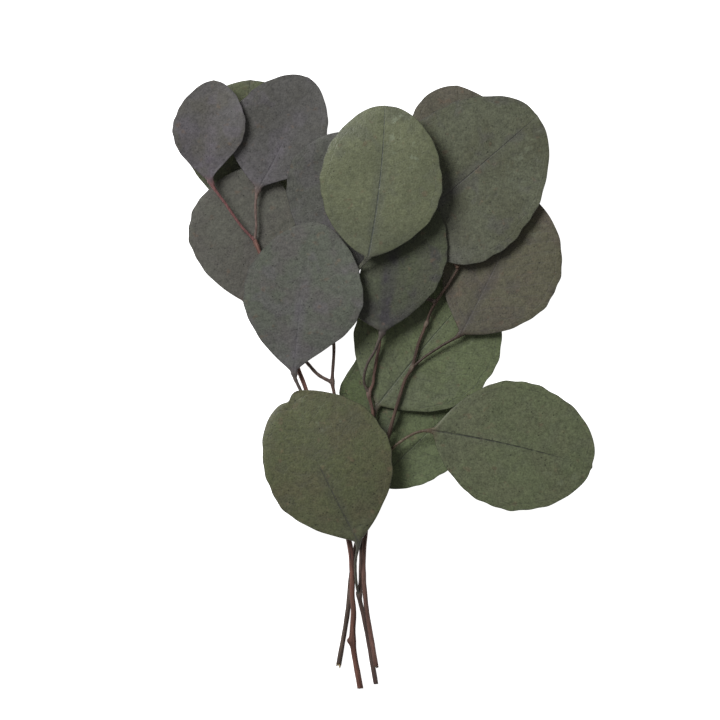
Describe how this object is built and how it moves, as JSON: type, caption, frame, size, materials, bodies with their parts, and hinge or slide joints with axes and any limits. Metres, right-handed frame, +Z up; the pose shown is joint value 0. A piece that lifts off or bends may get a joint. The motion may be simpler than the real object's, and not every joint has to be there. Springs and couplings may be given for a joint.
{
  "type": "bunch of eucalyptus branches",
  "caption": "Flat-lying bunch of cut eucalyptus branches with round stalked leaves, for table and floral decoration.",
  "frame": {"origin": "middle of the bunch's box, on the surface that it lies on", "axes": "+Y along the bunch from the cut ends to the leaf tips, +Z up from the surface, +X to the right seen from above"},
  "size_m": [0.1812, 0.264, 0.0215],
  "materials": {
    "bark_red_brown": "matte red-brown bark with fine lengthwise lines",
    "bark_dark": "matte dark purple-brown bark",
    "bark_brown": "matte brown bark, greyer where it is old",
    "bark_grey_brown": "matte grey-brown bark",
    "leaf_purple_grey": "matte waxy leaf, purple-grey",
    "leaf_grey_green": "matte waxy leaf, grey-green",
    "leaf_olive": "leathery leaf with a faint sheen, olive green",
    "leaf_dark_green": "leathery leaf, dark green",
    "leaf_brown_green": "leathery leaf, brownish green",
    "leaf_fresh_green": "leathery leaf, fresh mid green"
  },
  "bodies": {
    "root": {"stem_middle": "bark_red_brown", "stem_right_thin": "bark_dark", "stem_right": "bark_brown", "stem_left": "bark_grey_brown", "leaf_top_left_small": "leaf_purple_grey", "leaf_top_left_back": "leaf_fresh_green", "leaf_top_centre": "leaf_purple_grey", "leaf_left_low": "leaf_grey_green", "leaf_centre_grey": "leaf_purple_grey", "leaf_centre_large": "leaf_grey_green", "leaf_top_light": "leaf_olive", "leaf_dark_centre": "leaf_dark_green", "leaf_top_right_large": "leaf_dark_green", "leaf_top_right_back": "leaf_brown_green", "leaf_right": "leaf_brown_green", "leaf_lower_green": "leaf_fresh_green", "leaf_small_under": "leaf_fresh_green", "leaf_front_olive": "leaf_olive", "leaf_lower_right": "leaf_dark_green", "leaf_back_low": "leaf_fresh_green"}
  },
  "joints": []
}
